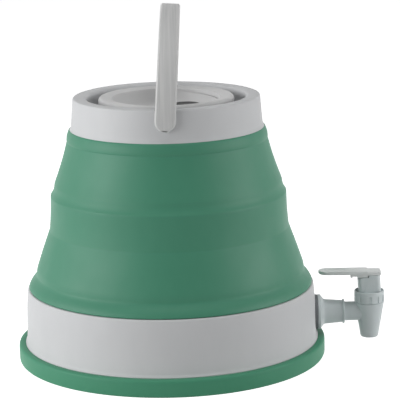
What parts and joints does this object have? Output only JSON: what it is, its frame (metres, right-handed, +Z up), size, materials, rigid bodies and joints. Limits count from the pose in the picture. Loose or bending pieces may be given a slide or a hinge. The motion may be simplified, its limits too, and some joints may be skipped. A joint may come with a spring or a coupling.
{
  "type": "collapsible water carrier",
  "caption": "Collapsible silicone water carrier with a plastic base band, screw lid, swinging bail and a lever tap low on its side.",
  "frame": {"origin": "on the carrier's axis, on the floor that it stands on", "axes": "+Z up along the carrier's axis, +X towards the tap, the bail's pivots on the Y axis"},
  "size_m": [0.3165, 0.265, 0.303],
  "materials": {
    "silicone_green": "matt silicone",
    "foot_green": "matt soft plastic",
    "pale_plastic": "satin moulded",
    "lid_plastic": "satin moulded",
    "bail_plastic": "satin moulded",
    "tap_plastic": "smooth moulded",
    "gasket_rubber": "matt",
    "dark_rubber": "matt",
    "spring_steel": "drawn wire"
  },
  "bodies": {
    "base": {"base_shell": "pale_plastic", "foot": "foot_green", "wall_lower_shoulder": "silicone_green", "wall_lower_fold": "silicone_green", "tap_outer_gasket": "gasket_rubber", "tap_inner_gasket": "gasket_rubber", "tap_back_nut": "tap_plastic", "tap_body": "tap_plastic", "tap_bonnet_nut": "tap_plastic", "tap_neck": "tap_plastic", "tap_spring": "spring_steel"},
    "middle": {"wall_middle_band": "silicone_green", "wall_upper_fold": "silicone_green"},
    "top": {"wall_upper_band": "silicone_green", "collar": "pale_plastic", "neck_ring": "lid_plastic", "pivot_clip_front": "pale_plastic", "pivot_clip_rear": "pale_plastic"},
    "bail": {"handle": "bail_plastic"},
    "lid_seal": {"lid_gasket": "gasket_rubber"},
    "lid": {"lid_cap": "lid_plastic"},
    "vent": {"vent_plug": "dark_rubber"},
    "lever": {"tap_lever": "tap_plastic", "tap_lever_pin": "spring_steel"},
    "stem": {"tap_stem": "tap_plastic", "tap_seat_cup": "gasket_rubber"}
  },
  "joints": [
    {"name": "lower_collapse", "type": "slide", "parent": "base", "child": "middle", "axis": [0, 0, -1], "range_m": [0, 0.066], "deforming": ["wall_lower_fold"]},
    {"name": "upper_collapse", "type": "slide", "parent": "middle", "child": "top", "axis": [0, 0, -1], "range_m": [0, 0.066], "deforming": ["wall_upper_fold"]},
    {"name": "bail_swing", "type": "hinge", "parent": "top", "child": "bail", "pos_m": [0, 0, 0.2168], "axis": [0, 1, 0], "range_deg": [-93.6, 86.4]},
    {"name": "lid_rise", "type": "slide", "parent": "top", "child": "lid_seal", "axis": [0, 0, 1], "range_m": [0, 0.0301]},
    {"name": "lid_turn", "type": "hinge", "parent": "lid_seal", "child": "lid", "pos_m": [0, 0, 0.2246], "axis": [0, 0, 1], "range_deg": [0, 900]},
    {"name": "vent_pull", "type": "slide", "parent": "lid", "child": "vent", "axis": [0, 0, 1], "range_m": [0, 0.008]},
    {"name": "lever_press", "type": "hinge", "parent": "base", "child": "lever", "pos_m": [0.16594, 0, 0.067], "axis": [0, -1, 0], "range_deg": [0, 16], "stiffness_Nm_per_rad": 0.03, "springref_deg": -17.19},
    {"name": "stem_lift", "type": "slide", "parent": "base", "child": "stem", "axis": [0, 0, 1], "range_m": [0, 0.0015], "deforming": ["tap_spring"]}
  ],
  "couplings": [
    {"joint": "upper_collapse", "follows": "lower_collapse", "ratio": 1},
    {"joint": "lid_rise", "follows": "lid_turn", "m_per_rad": 0.0019099},
    {"joint": "stem_lift", "follows": "lever_press", "m_per_rad": 0.0051}
  ]
}
